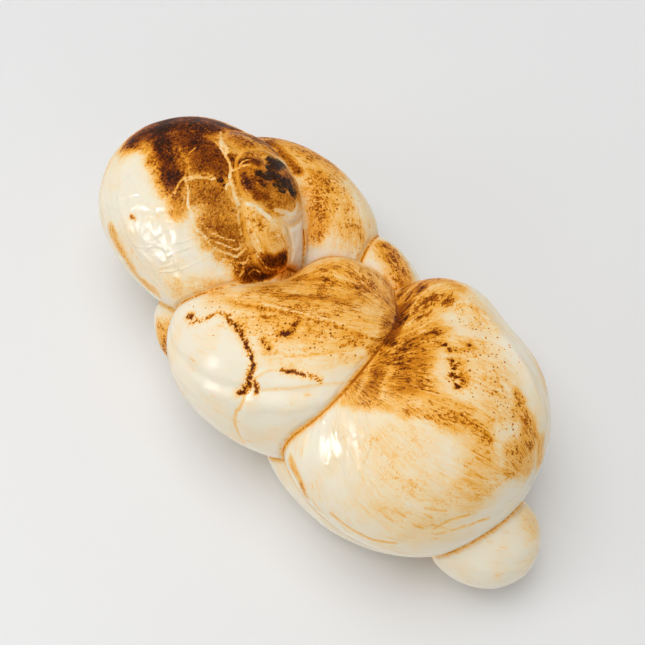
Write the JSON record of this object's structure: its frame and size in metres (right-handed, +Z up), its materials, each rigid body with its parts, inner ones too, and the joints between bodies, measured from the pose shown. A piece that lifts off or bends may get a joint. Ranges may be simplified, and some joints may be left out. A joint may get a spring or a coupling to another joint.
{
  "type": "braided smoked cheese",
  "caption": "Braided smoked cheese lying on its back: a thick glossy rope of pale stretched curd, looped, knotted and twisted on itself, with a browned crust.",
  "frame": {"origin": "centre of the cheese's footprint, on the table that it lies on", "axes": "+Z up from the table, through the shown side; the looped head end lies towards -X and +Y, the tail towards +X and -Y"},
  "size_m": [0.1254, 0.1368, 0.0508],
  "materials": {
    "cheese": "glossy, moist, cream coloured, smoked golden brown to dark brown on top"
  },
  "bodies": {
    "root": {"cheese_braid": "cheese"}
  },
  "joints": []
}
